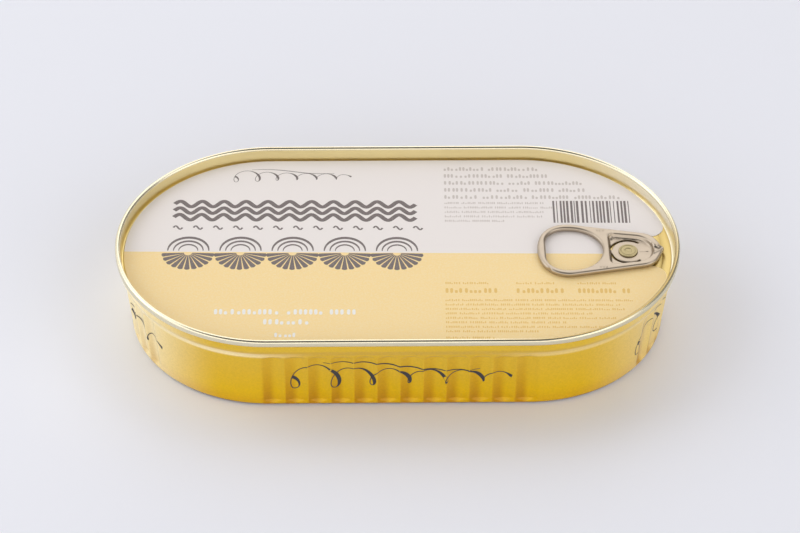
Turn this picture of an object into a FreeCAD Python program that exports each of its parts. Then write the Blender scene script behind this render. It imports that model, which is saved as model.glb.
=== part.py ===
"""Shut oval fish tin with an easy-open lid, a paper label and a ring-pull tab.

Millimetres, +Z up, +X along the tin. The origin is the middle of the foot, on the surface it stands on.
"""
import FreeCAD, Part
import math
import os

import Sketcher

V = FreeCAD.Vector
ORIGIN = (-1, 1)
X_AXIS = -1
START, END, CENTRE = 1, 2, 3

doc = FreeCAD.newDocument("fish_tin")
sheet = doc.addObject("Spreadsheet::Sheet", "Sizes")

DRIVING = [
    # the whole tin
    ("can_length", 148.0), ("can_width", 81.2), ("can_height", 24.7),
    # the double seam that closes the lid on the body
    ("seam_height", 1.8), ("seam_thickness", 1.3), ("seam_hem_round", 0.35),
    # the body below the seam: neck, shoulder, tapered wall and foot
    ("neck_setback", 0.6), ("neck_height", 2.1), ("shoulder_setback", 1.8), ("shoulder_height", 2.3),
    ("foot_setback", 3.575), ("foot_round", 1.2), ("foot_ring_width", 4.5), ("base_lift", 0.8),
    # the flutes pressed into the long sides and into both ends
    ("flute_pitch", 5.91), ("flute_count", 12), ("flute_depth", 0.7), ("flute_radius", 6.2),
    ("flute_foot_gap", 0.9), ("flute_top_gap", 0.1), ("flute_runout", 1.1), ("flute_clearance", 0.2),
    ("end_flute_count", 10), ("end_flute_angle", 8.0),
    # the lid
    ("chuck_wall_lean", 0.2), ("groove_radius", 0.25), ("groove_depth", 4.35), ("seat_setback", 1.1),
    ("lid_underside_depth", 4.65), ("panel_depth", 3.72), ("panel_round", 0.3), ("rim_reach", 3.0),
    ("score_setback", 4.3), ("score_width", 0.3), ("score_depth", 0.1),
    # the label on the panel
    ("label_setback", 2.22), ("label_thickness", 0.12),
    ("label_notch_half", 6.1), ("label_notch_round", 4.0), ("label_notch_shift", -1.0),
    # the rivet raised from the panel, which holds the tab
    ("rivet_reach", 60.5), ("rivet_shift", -1.6), ("button_radius", 3.4), ("shank_radius", 1.6),
    ("rivet_root", 0.2), ("rivet_head_radius", 2.6), ("rivet_head_thickness", 0.4),
    ("rivet_dimple_radius", 0.9), ("rivet_dimple_depth", 0.12),
    # the ring-pull tab, measured from the rivet
    ("tab_thickness", 1.5), ("tab_lift", 0.17), ("tab_edge_round", 0.6), ("tab_web", 0.4),
    ("ring_reach", 23.9), ("ring_half_width", 10.35), ("ring_end_radius", 16.0), ("ring_corner_radius", 7.6),
    ("tab_side_angle", 11.0), ("nose_reach", 9.4), ("nose_shoulder_radius", 5.2), ("nose_shoulder_reach", 3.0),
    ("nose_tip_radius", 0.6),
    ("finger_hole_near", 6.7), ("finger_hole_far", 21.7), ("finger_hole_half_width", 8.5),
    ("finger_hole_corner", 5.5),
    ("pan_back", 5.1), ("pan_reach", 6.75), ("pan_nose_radius", 5.5), ("pan_slant", 8.0), ("pan_corner", 1.6),
    ("pan_draft", 25.0), ("pan_edge_round", 0.3),
    ("slit_radius", 4.6), ("slit_width", 0.55), ("slit_mouth_angle", 53.0),
]
for row, (alias, amount) in enumerate(DRIVING, start=1):
    sheet.set("A%d" % row, alias)
    sheet.set("B%d" % row, str(amount))
    sheet.setAlias("B%d" % row, alias)
doc.recompute()


def size(alias):
    """Value of one cell of the sheet."""
    return float(sheet.get(alias))


def cell(alias):
    return "<<Sizes>>." + alias


def value(expression):
    """Number that an expression on the sheet gives."""
    return float(sheet.evalExpression(expression))


def new_body(label):
    body = doc.addObject("PartDesign::Body", label)
    body.Label = label
    return body


def sketch_on(body, role, name, lift=None):
    """Sketch on one of the body's own origin planes, lifted along its normal if an expression is given."""
    plane = next(f for f in body.Origin.OriginFeatures if f.Role == role)
    sketch = body.newObject("Sketcher::SketchObject", name)
    sketch.AttachmentSupport = (plane, [""])
    sketch.MapMode = "FlatFace"
    if lift:
        sketch.setExpression(".AttachmentOffset.Base.z", lift)
    return sketch


def constrain(sketch, kind, *args):
    return sketch.addConstraint(Sketcher.Constraint(kind, *args))


def drive(sketch, name, expression, kind, *args):
    """Dimension that follows the sheet."""
    index = constrain(sketch, kind, *args)
    sketch.renameConstraint(index, name)
    sketch.setExpression("Constraints." + name, expression)


def arc(cx, cy, radius, start_deg, end_deg):
    circle = Part.Circle(V(cx, cy, 0), V(0, 0, 1), radius)
    return Part.ArcOfCircle(circle, math.radians(start_deg), math.radians(end_deg))


def line(x1, y1, x2, y2):
    return Part.LineSegment(V(x1, y1, 0), V(x2, y2, 0))


def stadium(sketch, setback):
    """Oval of two straight sides and two half-round ends, set back from the seam's outline."""
    half = (size("can_length") - size("can_width")) / 2
    radius = size("can_width") / 2 - value(setback)
    right = sketch.addGeometry(arc(half, 0, radius, -90, 90))
    top = sketch.addGeometry(line(half, radius, -half, radius))
    left = sketch.addGeometry(arc(-half, 0, radius, 90, 270))
    bottom = sketch.addGeometry(line(-half, -radius, half, -radius))
    constrain(sketch, "Tangent", right, END, top, START)
    constrain(sketch, "Tangent", top, END, left, START)
    constrain(sketch, "Tangent", left, END, bottom, START)
    constrain(sketch, "Tangent", bottom, END, right, START)
    constrain(sketch, "Equal", right, left)
    constrain(sketch, "Symmetric", right, CENTRE, left, CENTRE, *ORIGIN)
    constrain(sketch, "PointOnObject", right, CENTRE, X_AXIS)
    drive(sketch, "end_radius_%d" % right, "Sizes.can_width / 2 - (%s)" % setback, "Radius", right, radius)
    drive(sketch, "straight_%d" % right, "Sizes.can_length - Sizes.can_width",
          "DistanceX", left, CENTRE, right, CENTRE, 2 * half)


def edges_where(feature, test):
    """Names of the feature's edges that pass a test."""
    return ["Edge%d" % i for i, edge in enumerate(feature.Shape.Edges, start=1) if test(edge)]


def flat_at(height):
    """Test for an edge that lies level at one height."""
    def test(edge):
        box = edge.BoundBox
        return abs(box.ZMin - height) < 1e-4 and abs(box.ZMax - height) < 1e-4
    return test


def arc_between(p, q, radius, turn):
    """Arc from p to q; turn is 1 for counter-clockwise, -1 for clockwise."""
    chord = V(q[0] - p[0], q[1] - p[1], 0)
    rise = math.sqrt(max(radius ** 2 - chord.Length ** 2 / 4, 0))
    normal = V(-chord.y, chord.x, 0).normalize()
    centre = V((p[0] + q[0]) / 2, (p[1] + q[1]) / 2, 0) + normal * (rise * turn)
    angle_p = math.degrees(math.atan2(p[1] - centre.y, p[0] - centre.x))
    angle_q = math.degrees(math.atan2(q[1] - centre.y, q[0] - centre.x))
    first, last = (angle_p, angle_q) if turn > 0 else (angle_q, angle_p)
    return arc(centre.x, centre.y, radius, first, last if last > first else last + 360)


def closed_section(sketch, corners, rounds):
    """Closed outline. corners holds (x, y) expressions; rounds holds {corner index: (radius, turn)} for
    the arcs that run from that corner to the next, half-rounds being level with their own ends."""
    points = [(value(x), value(y)) for x, y in corners]
    ends = []
    for i, p in enumerate(points):
        q = points[(i + 1) % len(points)]
        if i in rounds:
            radius, turn = rounds[i]
            edge = sketch.addGeometry(arc_between(p, q, value(radius), turn))
            ends.append((edge, START, END) if turn > 0 else (edge, END, START))
            if abs(math.hypot(q[0] - p[0], q[1] - p[1]) - 2 * value(radius)) < 1e-6:
                constrain(sketch, "Horizontal", edge, CENTRE, edge, START)
            else:
                drive(sketch, "round_%d" % i, radius, "Radius", edge, value(radius))
        else:
            edge = sketch.addGeometry(line(*p, *q))
            ends.append((edge, START, END))
    for i, (edge, _, last) in enumerate(ends):
        following, first, _ = ends[(i + 1) % len(ends)]
        constrain(sketch, "Coincident", edge, last, following, first)
    for i, (x, y) in enumerate(corners):
        edge, first, _ = ends[i]
        drive(sketch, "x_%d" % i, x, "DistanceX", *ORIGIN, edge, first, points[i][0])
        drive(sketch, "y_%d" % i, y, "DistanceY", *ORIGIN, edge, first, points[i][1])


WALL_HEIGHT = "(Sizes.can_height - Sizes.seam_height - Sizes.neck_height - Sizes.shoulder_height)"


def add_storey(body, name, lift, low_setback, height, high_setback):
    """One storey of the drawn wall, widening evenly from one setback to the next."""
    outline = sketch_on(body, "XY_Plane", name + "_outline", lift)
    stadium(outline, low_setback)
    pad = body.newObject("PartDesign::Pad", name)
    pad.Profile = outline
    pad.setExpression("Length", height)
    pad.setExpression("TaperAngle", "atan((%s - %s) / %s)" % (low_setback, high_setback, height))
    return pad


def build_can_body():
    """Drawn body: foot, tapered wall, shoulder and neck, filled and shut, with a seat for the lid on top."""
    body = new_body("can_body")
    add_storey(body, "tapered_wall", "0", cell("foot_setback"), WALL_HEIGHT, cell("shoulder_setback"))
    add_storey(body, "shoulder", WALL_HEIGHT, cell("shoulder_setback"),
               cell("shoulder_height"), cell("neck_setback"))
    neck = add_storey(body, "neck", WALL_HEIGHT + " + Sizes.shoulder_height", cell("neck_setback"),
                      cell("neck_height"), cell("neck_setback"))
    doc.recompute()

    foot = body.newObject("PartDesign::Fillet", "foot_fillet")
    foot.Base = (neck, edges_where(neck, flat_at(0)))
    foot.setExpression("Radius", cell("foot_round"))
    doc.recompute()

    seat = sketch_on(body, "XY_Plane", "lid_seat_outline", "Sizes.can_height - Sizes.seam_height")
    stadium(seat, cell("seat_setback"))
    seat_pocket = body.newObject("PartDesign::Pocket", "lid_seat")
    seat_pocket.Profile = seat
    seat_pocket.setExpression("Length", "Sizes.lid_underside_depth - Sizes.seam_height")

    base = sketch_on(body, "XY_Plane", "base_panel_outline")
    stadium(base, "Sizes.foot_setback + Sizes.foot_ring_width")
    base_pocket = body.newObject("PartDesign::Pocket", "base_panel")
    base_pocket.Profile = base
    base_pocket.Reversed = True
    base_pocket.setExpression("Length", cell("base_lift"))
    doc.recompute()
    add_flutes(body)
    return body


def flute_section(sketch):
    """Section of one flute's cutter, turned round the sketch's upright axis; its ends run out to nothing."""
    taper = "atan((Sizes.foot_setback - Sizes.shoulder_setback) / %s)" % WALL_HEIGHT
    slant = "%s / cos(%s)" % (WALL_HEIGHT, taper)
    low = cell("flute_foot_gap")
    high = slant + " - Sizes.flute_top_gap"
    clear = "Sizes.flute_radius - Sizes.flute_depth - Sizes.flute_clearance"
    closed_section(sketch, [
        ("0", low),
        (clear, low),
        (cell("flute_radius"), low + " + Sizes.flute_runout"),
        (cell("flute_radius"), high + " - Sizes.flute_runout"),
        (clear, high),
        ("0", high),
    ], {})


def press_flute(body, name, sketch, place):
    """First flute of a row or fan: its cutter stands at the place and turns round its own axis."""
    sketch.AttachmentOffset = place
    flute_section(sketch)
    cut = body.newObject("PartDesign::Groove", name + "_flute")
    cut.Profile = sketch
    cut.ReferenceAxis = (sketch, ["V_Axis"])
    return cut


def add_flutes(body):
    """Rows of shallow flutes: one row on each long side, one fan round each end."""
    taper = math.degrees(math.atan((size("foot_setback") - size("shoulder_setback")) / value(WALL_HEIGHT)))
    lean = FreeCAD.Rotation(V(0, 0, 1), taper)
    standoff = size("flute_radius") - size("flute_depth")
    reach = size("can_width") / 2 - size("foot_setback") + standoff * math.cos(math.radians(taper))
    sunk = -standoff * math.sin(math.radians(taper))
    row = size("flute_pitch") * (size("flute_count") - 1)
    fan = size("end_flute_angle") * (size("end_flute_count") - 1)
    half_straight = (size("can_length") - size("can_width")) / 2
    x_axis = next(f for f in body.Origin.OriginFeatures if f.Role == "X_Axis")

    for name, side in (("front", -1), ("back", 1)):
        sketch = sketch_on(body, "YZ_Plane", name + "_flute_section")
        facing = FreeCAD.Rotation(V(0, 1, 0), 0 if side < 0 else 180)
        first = V(side * reach, sunk, -row / 2)
        cut = press_flute(body, name, sketch, FreeCAD.Placement(first, facing * lean))
        pattern = body.newObject("PartDesign::LinearPattern", name + "_flutes")
        pattern.Originals = [cut]
        pattern.Direction = (x_axis, [""])
        pattern.setExpression("Length", "Sizes.flute_pitch * (Sizes.flute_count - 1)")
        pattern.setExpression("Occurrences", cell("flute_count"))
        body.Tip = pattern

    for name, side, heading in (("right", 1, -fan / 2), ("left", -1, 180 - fan / 2)):
        hub = V(side * half_straight, 0, 0)
        axis = sketch_on(body, "XY_Plane", name + "_fan_axis")
        axis.AttachmentOffset = FreeCAD.Placement(hub, FreeCAD.Rotation())
        sketch = sketch_on(body, "XZ_Plane", name + "_flute_section")
        out = V(math.cos(math.radians(heading)), 0, -math.sin(math.radians(heading))) * reach
        facing = FreeCAD.Rotation(V(0, 1, 0), heading + 180)
        cut = press_flute(body, name, sketch, FreeCAD.Placement(hub + out + V(0, sunk, 0), facing * lean))
        pattern = body.newObject("PartDesign::PolarPattern", name + "_flutes")
        pattern.Originals = [cut]
        pattern.Axis = (axis, ["N_Axis"])
        pattern.setExpression("Angle", "Sizes.end_flute_angle * (Sizes.end_flute_count - 1)")
        pattern.setExpression("Occurrences", cell("end_flute_count"))
        body.Tip = pattern
    doc.recompute()


def build_lid():
    """Easy-open lid: seam, chuck wall and groove swept round the oval, panel, score and raised rivet."""
    body = new_body("lid")
    top = cell("can_height")
    half_round = "Sizes.seam_thickness / 2"

    def out(setback):
        return "Sizes.can_length / 2 - (%s)" % setback

    def down(depth):
        return "%s - (%s)" % (top, depth)

    groove_wall = "Sizes.seam_thickness + Sizes.chuck_wall_lean"
    groove_far = groove_wall + " + 2 * Sizes.groove_radius"
    groove_level = "Sizes.groove_depth - Sizes.groove_radius"
    panel_level = cell("panel_depth")
    flat_start = groove_far + " + Sizes.panel_round"
    rim_end = cell("rim_reach")
    section = sketch_on(body, "XZ_Plane", "rim_section")
    closed_section(section, [
        (out("0"), down(half_round)),
        (out("Sizes.seam_thickness"), down(half_round)),
        (out(groove_wall), down(groove_level)),
        (out(groove_far), down(groove_level)),
        (out(groove_far), down(panel_level + " + Sizes.panel_round")),
        (out(flat_start), down(panel_level)),
        (out(rim_end), down(panel_level)),
        (out(rim_end), down(cell("lid_underside_depth"))),
        (out(cell("seat_setback")), down(cell("lid_underside_depth"))),
        (out(cell("seat_setback")), down(cell("seam_height"))),
        (out(cell("seam_hem_round")), down(cell("seam_height"))),
        (out("0"), down("Sizes.seam_height - Sizes.seam_hem_round")),
    ], {
        0: (half_round, 1),
        2: (cell("groove_radius"), 1),
        4: (cell("panel_round"), -1),
        10: (cell("seam_hem_round"), 1),
    })
    path = sketch_on(body, "XY_Plane", "rim_path")
    spine(path)
    rim = body.newObject("PartDesign::AdditivePipe", "rim")
    rim.Profile = section
    rim.Spine = (path, [])
    doc.recompute()

    panel = sketch_on(body, "XY_Plane", "panel_outline", down(cell("lid_underside_depth")))
    stadium(panel, rim_end)
    panel_pad = body.newObject("PartDesign::Pad", "panel")
    panel_pad.Profile = panel
    panel_pad.setExpression("Length", "Sizes.lid_underside_depth - Sizes.panel_depth")

    score = sketch_on(body, "XY_Plane", "score_outline", down(panel_level))
    stadium(score, cell("score_setback"))
    stadium(score, "Sizes.score_setback + Sizes.score_width")
    score_cut = body.newObject("PartDesign::Pocket", "score_line")
    score_cut.Profile = score
    score_cut.setExpression("Length", cell("score_depth"))
    doc.recompute()
    add_rivet(body)
    return body


def spine(sketch):
    """The seam's outline as a path that starts at the middle of the right-hand end."""
    half = (size("can_length") - size("can_width")) / 2
    radius = size("can_width") / 2
    pieces = [
        sketch.addGeometry(arc(half, 0, radius, 0, 90)),
        sketch.addGeometry(line(half, radius, -half, radius)),
        sketch.addGeometry(arc(-half, 0, radius, 90, 270)),
        sketch.addGeometry(line(-half, -radius, half, -radius)),
        sketch.addGeometry(arc(half, 0, radius, 270, 360)),
    ]
    for first, following in zip(pieces, pieces[1:]):
        constrain(sketch, "Tangent", first, END, following, START)
    constrain(sketch, "Coincident", pieces[4], END, pieces[0], START)
    constrain(sketch, "Coincident", pieces[4], CENTRE, pieces[0], CENTRE)
    constrain(sketch, "PointOnObject", pieces[0], START, X_AXIS)
    constrain(sketch, "Symmetric", pieces[0], CENTRE, pieces[2], CENTRE, *ORIGIN)
    constrain(sketch, "PointOnObject", pieces[0], CENTRE, X_AXIS)
    drive(sketch, "end_radius", "Sizes.can_width / 2", "Radius", pieces[2], radius)
    drive(sketch, "straight", "Sizes.can_length - Sizes.can_width",
          "DistanceX", pieces[2], CENTRE, pieces[0], CENTRE, 2 * half)


def add_rivet(body):
    """Rivet formed from the panel: a low button under the tab, the shank and the flattened head."""
    section = sketch_on(body, "XZ_Plane", "rivet_section", "-Sizes.rivet_shift")
    section.setExpression(".AttachmentOffset.Base.x", cell("rivet_reach"))
    panel = "Sizes.can_height - Sizes.panel_depth"
    button = panel + " + Sizes.tab_lift"
    under_head = button + " + Sizes.tab_web"
    head = under_head + " + Sizes.rivet_head_thickness"
    bevel = " - Sizes.rivet_head_thickness / 2"
    closed_section(section, [
        ("0", panel + " - Sizes.rivet_root"),
        ("Sizes.button_radius + Sizes.tab_lift", panel + " - Sizes.rivet_root"),
        ("Sizes.button_radius + Sizes.tab_lift", panel),
        (cell("button_radius"), button),
        (cell("shank_radius"), button),
        (cell("shank_radius"), under_head),
        (cell("rivet_head_radius"), under_head),
        (cell("rivet_head_radius"), under_head + " + Sizes.rivet_head_thickness / 2"),
        ("Sizes.rivet_head_radius" + bevel, head),
        (cell("rivet_dimple_radius"), head),
        ("Sizes.rivet_dimple_radius / 2", head + " - Sizes.rivet_dimple_depth"),
        ("0", head + " - Sizes.rivet_dimple_depth"),
    ], {7: ("Sizes.rivet_head_thickness / 2", 1)})
    rivet = body.newObject("PartDesign::Revolution", "rivet")
    rivet.Profile = section
    rivet.ReferenceAxis = (section, ["V_Axis"])
    rivet.Angle = 360
    body.Tip = rivet
    doc.recompute()


def build_label():
    """Thin paper label that covers the panel, with a round-ended notch that leaves the tab's nose bare."""
    body = new_body("label")
    panel = "Sizes.can_height - Sizes.panel_depth"
    outline = sketch_on(body, "XY_Plane", "label_outline", panel)
    stadium(outline, cell("label_setback"))
    sheet_pad = body.newObject("PartDesign::Pad", "label_sheet")
    sheet_pad.Profile = outline
    sheet_pad.setExpression("Length", cell("label_thickness"))

    notch = sketch_on(body, "XY_Plane", "notch_outline", panel + " + Sizes.label_thickness")
    notch.setExpression(".AttachmentOffset.Base.y", cell("label_notch_shift"))
    half, reach = size("label_notch_half"), size("rivet_reach")
    edge = size("can_length") / 2
    back = notch.addGeometry(arc(reach, 0, half, 90, 270))
    low = notch.addGeometry(line(reach, -half, edge, -half))
    close = notch.addGeometry(line(edge, -half, edge, half))
    high = notch.addGeometry(line(edge, half, reach, half))
    constrain(notch, "Tangent", back, END, low, START)
    constrain(notch, "Coincident", low, END, close, START)
    constrain(notch, "Coincident", close, END, high, START)
    constrain(notch, "Tangent", high, END, back, START)
    constrain(notch, "PointOnObject", back, CENTRE, X_AXIS)
    constrain(notch, "Horizontal", low)
    constrain(notch, "Vertical", close)
    drive(notch, "half_width", cell("label_notch_half"), "Radius", back, half)
    drive(notch, "reach", cell("rivet_reach"), "DistanceX", *ORIGIN, back, CENTRE, reach)
    drive(notch, "edge", "Sizes.can_length / 2", "DistanceX", *ORIGIN, close, START, edge)
    notch_cut = body.newObject("PartDesign::Pocket", "tab_notch")
    notch_cut.Profile = notch
    notch_cut.setExpression("Length", "2 * Sizes.label_thickness")
    doc.recompute()

    def notch_corner(edge):
        box = edge.BoundBox
        upright = box.ZLength > 0.5 * size("label_thickness") and box.XLength < 1e-4 and box.YLength < 1e-4
        return upright and box.XMin > size("rivet_reach") + 2
    corners = body.newObject("PartDesign::Fillet", "notch_corners")
    corners.Base = (notch_cut, edges_where(notch_cut, notch_corner))
    corners.setExpression("Radius", cell("label_notch_round"))
    doc.recompute()
    return body


def chain(sketch, pieces):
    """Join pieces end to start, smoothly, all the way round."""
    for i, piece in enumerate(pieces):
        constrain(sketch, "Tangent", piece, END, pieces[(i + 1) % len(pieces)], START)


def tab_outline(sketch):
    """Outer edge of the tab: wide flat-ended ring that narrows to a pointed nose, even on both sides."""
    end_x = size("ring_end_radius") - size("ring_reach")
    corner_y = size("ring_half_width") - size("ring_corner_radius")
    inset = size("ring_end_radius") - size("ring_corner_radius")
    corner_x = end_x - math.sqrt(inset ** 2 - corner_y ** 2)
    slant = size("tab_side_angle")
    lean = V(math.sin(math.radians(slant)), math.cos(math.radians(slant)), 0)
    corner_top = V(corner_x, corner_y, 0) + lean * size("ring_corner_radius")
    shoulder_x = size("nose_shoulder_reach")
    shoulder_y = (lean.dot(corner_top) - size("nose_shoulder_radius") - lean.x * shoulder_x) / lean.y
    shoulder_top = V(shoulder_x, shoulder_y, 0) + lean * size("nose_shoulder_radius")
    tip_x = size("nose_reach") - size("nose_tip_radius")
    tip_span = math.hypot(tip_x - shoulder_x, shoulder_y)
    tip_angle = math.degrees(math.acos((size("nose_shoulder_radius") - size("nose_tip_radius")) / tip_span)
                             - math.atan2(shoulder_y, tip_x - shoulder_x))
    tip_lean = V(math.cos(math.radians(tip_angle)), math.sin(math.radians(tip_angle)), 0)
    tip_top = V(tip_x, 0, 0) + tip_lean * size("nose_tip_radius")
    nose_top = V(shoulder_x, shoulder_y, 0) + tip_lean * size("nose_shoulder_radius")
    end_angle = math.degrees(math.atan2(corner_y, corner_x - end_x))

    tip = sketch.addGeometry(arc(tip_x, 0, size("nose_tip_radius"), -tip_angle, tip_angle))
    tip_back = sketch.addGeometry(line(tip_top.x, tip_top.y, nose_top.x, nose_top.y))
    shoulder_back = sketch.addGeometry(
        arc(shoulder_x, shoulder_y, size("nose_shoulder_radius"), tip_angle, 90 - slant))
    side_back = sketch.addGeometry(line(shoulder_top.x, shoulder_top.y, corner_top.x, corner_top.y))
    corner_back = sketch.addGeometry(
        arc(corner_x, corner_y, size("ring_corner_radius"), 90 - slant, end_angle))
    end = sketch.addGeometry(arc(end_x, 0, size("ring_end_radius"), end_angle, 360 - end_angle))
    corner_front = sketch.addGeometry(
        arc(corner_x, -corner_y, size("ring_corner_radius"), 360 - end_angle, 270 + slant))
    side_front = sketch.addGeometry(line(corner_top.x, -corner_top.y, shoulder_top.x, -shoulder_top.y))
    shoulder_front = sketch.addGeometry(
        arc(shoulder_x, -shoulder_y, size("nose_shoulder_radius"), 270 + slant, 360 - tip_angle))
    tip_front = sketch.addGeometry(line(nose_top.x, -nose_top.y, tip_top.x, -tip_top.y))
    chain(sketch, [tip, tip_back, shoulder_back, side_back, corner_back, end,
                   corner_front, side_front, shoulder_front, tip_front])
    constrain(sketch, "PointOnObject", tip, CENTRE, X_AXIS)
    constrain(sketch, "PointOnObject", end, CENTRE, X_AXIS)
    constrain(sketch, "Equal", shoulder_back, shoulder_front)
    constrain(sketch, "Equal", corner_back, corner_front)
    constrain(sketch, "Symmetric", shoulder_back, CENTRE, shoulder_front, CENTRE, X_AXIS)
    constrain(sketch, "Vertical", corner_back, CENTRE, corner_front, CENTRE)
    drive(sketch, "tip_radius", cell("nose_tip_radius"), "Radius", tip, size("nose_tip_radius"))
    drive(sketch, "tip_reach", "Sizes.nose_reach - Sizes.nose_tip_radius",
          "DistanceX", *ORIGIN, tip, CENTRE, tip_x)
    drive(sketch, "shoulder_radius", cell("nose_shoulder_radius"),
          "Radius", shoulder_back, size("nose_shoulder_radius"))
    drive(sketch, "shoulder_reach", cell("nose_shoulder_reach"),
          "DistanceX", *ORIGIN, shoulder_back, CENTRE, shoulder_x)
    drive(sketch, "side_angle", "Sizes.tab_side_angle * 1deg",
          "Angle", X_AXIS, side_front, math.radians(slant))
    drive(sketch, "corner_radius", cell("ring_corner_radius"),
          "Radius", corner_back, size("ring_corner_radius"))
    drive(sketch, "half_width", "Sizes.ring_half_width - Sizes.ring_corner_radius",
          "DistanceY", *ORIGIN, corner_back, CENTRE, corner_y)
    drive(sketch, "end_radius", cell("ring_end_radius"), "Radius", end, size("ring_end_radius"))
    drive(sketch, "end_reach", "Sizes.ring_reach - Sizes.ring_end_radius",
          "DistanceX", end, CENTRE, *ORIGIN, -end_x)


def finger_hole(sketch):
    """Hole for the finger: half-round toward the rivet, square with rounded corners at the pulled end."""
    half = size("finger_hole_half_width")
    corner = size("finger_hole_corner")
    near_x = -size("finger_hole_near") - half
    far_x = -size("finger_hole_far")
    near = sketch.addGeometry(arc(near_x, 0, half, -90, 90))
    back = sketch.addGeometry(line(near_x, half, far_x + corner, half))
    corner_back = sketch.addGeometry(arc(far_x + corner, half - corner, corner, 90, 180))
    far = sketch.addGeometry(line(far_x, half - corner, far_x, corner - half))
    corner_front = sketch.addGeometry(arc(far_x + corner, corner - half, corner, 180, 270))
    front = sketch.addGeometry(line(far_x + corner, -half, near_x, -half))
    chain(sketch, [near, back, corner_back, far, corner_front, front])
    constrain(sketch, "PointOnObject", near, CENTRE, X_AXIS)
    constrain(sketch, "Equal", corner_back, corner_front)
    constrain(sketch, "Horizontal", back)
    constrain(sketch, "Horizontal", front)
    constrain(sketch, "Vertical", far)
    drive(sketch, "half_width", cell("finger_hole_half_width"), "Radius", near, half)
    drive(sketch, "near", "Sizes.finger_hole_near + Sizes.finger_hole_half_width",
          "DistanceX", near, CENTRE, *ORIGIN, -near_x)
    drive(sketch, "far", cell("finger_hole_far"), "DistanceX", far, START, *ORIGIN, -far_x)
    drive(sketch, "corner", cell("finger_hole_corner"), "Radius", corner_back, corner)


def pan_outline(sketch):
    """Sunk pan round the rivet: round toward the nose, straight at the crossbar."""
    radius = size("pan_nose_radius")
    corner = size("pan_corner")
    slant = size("pan_slant")
    nose_x = size("pan_reach") - radius
    back_x = -size("pan_back")
    lean = V(math.sin(math.radians(slant)), math.cos(math.radians(slant)), 0)
    side = V(nose_x, 0, 0) + lean * radius
    corner_x = back_x + corner
    corner_y = (lean.dot(side) - corner - lean.x * corner_x) / lean.y
    turn = V(corner_x, corner_y, 0) + lean * corner
    nose = sketch.addGeometry(arc(nose_x, 0, radius, slant - 90, 90 - slant))
    side_back = sketch.addGeometry(line(side.x, side.y, turn.x, turn.y))
    corner_back = sketch.addGeometry(arc(corner_x, corner_y, corner, 90 - slant, 180))
    bar = sketch.addGeometry(line(back_x, corner_y, back_x, -corner_y))
    corner_front = sketch.addGeometry(arc(corner_x, -corner_y, corner, 180, 270 + slant))
    side_front = sketch.addGeometry(line(turn.x, -turn.y, side.x, -side.y))
    chain(sketch, [nose, side_back, corner_back, bar, corner_front, side_front])
    constrain(sketch, "PointOnObject", nose, CENTRE, X_AXIS)
    constrain(sketch, "Equal", corner_back, corner_front)
    constrain(sketch, "Symmetric", bar, START, bar, END, X_AXIS)
    drive(sketch, "nose_radius", cell("pan_nose_radius"), "Radius", nose, radius)
    drive(sketch, "nose_reach", "Sizes.pan_reach - Sizes.pan_nose_radius",
          "DistanceX", *ORIGIN, nose, CENTRE, nose_x)
    drive(sketch, "back", cell("pan_back"), "DistanceX", bar, START, *ORIGIN, -back_x)
    drive(sketch, "corner", cell("pan_corner"), "Radius", corner_back, corner)
    drive(sketch, "slant", "Sizes.pan_slant * 1deg", "Angle", X_AXIS, side_front, math.radians(slant))


def hinge_slit(sketch):
    """C-shaped slit round the rivet, open toward the nose, that leaves the tongue the rivet holds."""
    middle, half_width = size("slit_radius"), size("slit_width") / 2
    mouth = size("slit_mouth_angle")
    outer = sketch.addGeometry(arc(0, 0, middle + half_width, mouth, 360 - mouth))
    inner = sketch.addGeometry(arc(0, 0, middle - half_width, mouth, 360 - mouth))
    tip = V(math.cos(math.radians(mouth)), math.sin(math.radians(mouth)), 0) * middle
    back_end = sketch.addGeometry(arc(tip.x, tip.y, half_width, mouth + 180, mouth + 360))
    front_end = sketch.addGeometry(arc(tip.x, -tip.y, half_width, -mouth, 180 - mouth))
    constrain(sketch, "Coincident", outer, CENTRE, *ORIGIN)
    constrain(sketch, "Coincident", inner, CENTRE, *ORIGIN)
    constrain(sketch, "Tangent", outer, START, back_end, END)
    constrain(sketch, "Tangent", back_end, START, inner, START)
    constrain(sketch, "Tangent", inner, END, front_end, END)
    constrain(sketch, "Tangent", front_end, START, outer, END)
    drive(sketch, "outer_radius", "Sizes.slit_radius + Sizes.slit_width / 2",
          "Radius", outer, middle + half_width)
    drive(sketch, "width", "Sizes.slit_width / 2", "Radius", back_end, half_width)
    drive(sketch, "mouth_x", "Sizes.slit_radius * cos(Sizes.slit_mouth_angle * 1deg)",
          "DistanceX", *ORIGIN, back_end, CENTRE, tip.x)
    constrain(sketch, "Vertical", back_end, CENTRE, front_end, CENTRE)


def in_pan(edge):
    """Whether an edge of the tab belongs to the pan, not to the tab's own outline or the finger hole."""
    box = edge.BoundBox
    back = size("rivet_reach") - size("pan_back")
    tip = size("rivet_reach") + size("pan_reach")
    slack = 0.01
    return box.XMin > back - slack and box.XMax < tip + slack


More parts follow.
